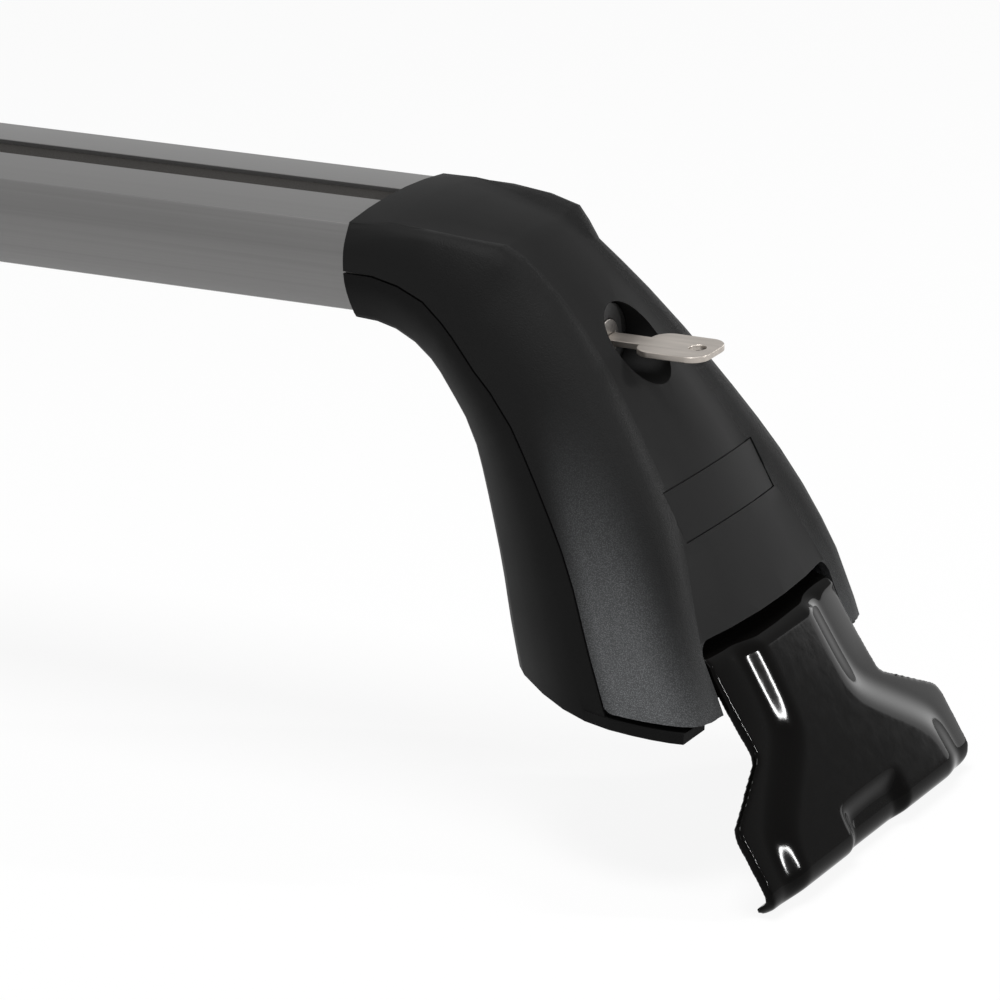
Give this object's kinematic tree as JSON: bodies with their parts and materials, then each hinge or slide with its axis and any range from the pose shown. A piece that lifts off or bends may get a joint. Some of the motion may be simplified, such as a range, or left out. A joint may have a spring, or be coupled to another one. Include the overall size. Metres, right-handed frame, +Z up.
{
  "type": "roof rack crossbar",
  "caption": "Aluminium roof rack crossbar with a T-slot, carried by black locking clamp feet whose pressed steel hooks swing in as their bolts are tightened.",
  "frame": {"origin": "on the floor under the hook lips, at the middle of the bar's length and depth", "axes": "+X along the bar towards the foot with the key, +Y from the seen side to the far side, +Z up"},
  "size_m": [1.1698, 0.136, 0.1957],
  "materials": {
    "bar_aluminium": "satin anodised",
    "spigot_aluminium": "mill",
    "slot_rubber": "matte",
    "cover_plastic": "moulded, fine texture on the sides",
    "body_plastic": "moulded satin",
    "badge_plastic": "bare, smooth",
    "pad_rubber": "matte",
    "liner_rubber": "matte",
    "hook_paint": "gloss black",
    "zinc_steel": "zinc plated",
    "lock_black": "dark satin",
    "lock_nickel": "nickel",
    "key_nickel": "nickel plated"
  },
  "bodies": {
    "rack": {"bar": "bar_aluminium", "slot_strip": "slot_rubber", "right_foot_body": "body_plastic", "right_roof_pad": "pad_rubber", "right_bar_spigot": "spigot_aluminium", "right_bar_bolts": "zinc_steel", "right_hook_pin": "zinc_steel", "left_foot_body": "body_plastic", "left_roof_pad": "pad_rubber", "left_bar_spigot": "spigot_aluminium", "left_bar_bolts": "zinc_steel", "left_hook_pin": "zinc_steel"},
    "right_cover": {"right_foot_cover": "cover_plastic", "right_badge_plate": "badge_plastic", "right_lock_housing": "lock_black", "right_lock_nut": "zinc_steel"},
    "right_lock": {"right_lock_plug": "lock_nickel", "right_lock_cam": "zinc_steel", "right_cam_screw": "zinc_steel"},
    "right_hook": {"right_clamp_hook": "hook_paint", "right_hook_liner": "liner_rubber", "right_tension_washer": "zinc_steel"},
    "right_nut": {"right_barrel_nut": "zinc_steel"},
    "right_ring": {"right_bolt_ring": "zinc_steel"},
    "right_bolt": {"right_tension_bolt": "zinc_steel"},
    "left_cover": {"left_foot_cover": "cover_plastic", "left_badge_plate": "badge_plastic", "left_lock_housing": "lock_black", "left_lock_nut": "zinc_steel"},
    "left_lock": {"left_lock_plug": "lock_nickel", "left_lock_cam": "zinc_steel", "left_cam_screw": "zinc_steel"},
    "left_hook": {"left_clamp_hook": "hook_paint", "left_hook_liner": "liner_rubber", "left_tension_washer": "zinc_steel"},
    "left_nut": {"left_barrel_nut": "zinc_steel"},
    "left_ring": {"left_bolt_ring": "zinc_steel"},
    "left_bolt": {"left_tension_bolt": "zinc_steel"},
    "key": {"key": "key_nickel"}
  },
  "joints": [
    {"name": "right_cover_lift", "type": "slide", "parent": "rack", "child": "right_cover", "axis": [0.7071, 0, 0.7071], "range_m": [0, 0.2]},
    {"name": "right_lock_turn", "type": "hinge", "parent": "right_cover", "child": "right_lock", "pos_m": [0.49, 0, 0.15528], "axis": [1, 0, 0], "range_deg": [0, 90]},
    {"name": "right_hook_swing", "type": "hinge", "parent": "rack", "child": "right_hook", "pos_m": [0.51925, 0, 0.10423], "axis": [0, 1, 0], "range_deg": [0, 8]},
    {"name": "right_nut_swivel", "type": "hinge", "parent": "rack", "child": "right_nut", "pos_m": [0.50451, 0, 0.07204], "axis": [0, 1, 0], "range_deg": [0, 1.85]},
    {"name": "right_ring_feed", "type": "slide", "parent": "right_nut", "child": "right_ring", "axis": [-0.8746, 0, -0.4848], "range_m": [0, 0.003]},
    {"name": "right_bolt_turn", "type": "hinge", "parent": "right_ring", "child": "right_bolt", "pos_m": [0.53075, 0, 0.08659], "axis": [-0.8746, 0, -0.4848], "range_deg": [0, 864]},
    {"name": "left_cover_lift", "type": "slide", "parent": "rack", "child": "left_cover", "axis": [-0.7071, 0, 0.7071], "range_m": [0, 0.2]},
    {"name": "left_lock_turn", "type": "hinge", "parent": "left_cover", "child": "left_lock", "pos_m": [-0.49, 0, 0.15528], "axis": [-1, 0, 0], "range_deg": [0, 90]},
    {"name": "left_hook_swing", "type": "hinge", "parent": "rack", "child": "left_hook", "pos_m": [-0.51925, 0, 0.10423], "axis": [0, -1, 0], "range_deg": [0, 8]},
    {"name": "left_nut_swivel", "type": "hinge", "parent": "rack", "child": "left_nut", "pos_m": [-0.50451, 0, 0.07204], "axis": [0, -1, 0], "range_deg": [0, 1.85]},
    {"name": "left_ring_feed", "type": "slide", "parent": "left_nut", "child": "left_ring", "axis": [0.8746, 0, -0.4848], "range_m": [0, 0.003]},
    {"name": "left_bolt_turn", "type": "hinge", "parent": "left_ring", "child": "left_bolt", "pos_m": [-0.53075, 0, 0.08659], "axis": [0.8746, 0, -0.4848], "range_deg": [0, 864]},
    {"name": "key_draw", "type": "slide", "parent": "right_lock", "child": "key", "axis": [1, 0, 0], "range_m": [0, 0.06]}
  ],
  "couplings": [
    {"joint": "right_bolt_turn", "follows": "right_hook_swing", "ratio": 107.9},
    {"joint": "right_nut_swivel", "follows": "right_hook_swing", "ratio": 0.22875},
    {"joint": "right_ring_feed", "follows": "right_hook_swing", "m_per_rad": 0.021466},
    {"joint": "left_bolt_turn", "follows": "left_hook_swing", "ratio": 107.9},
    {"joint": "left_nut_swivel", "follows": "left_hook_swing", "ratio": 0.22875},
    {"joint": "left_ring_feed", "follows": "left_hook_swing", "m_per_rad": 0.021466}
  ]
}
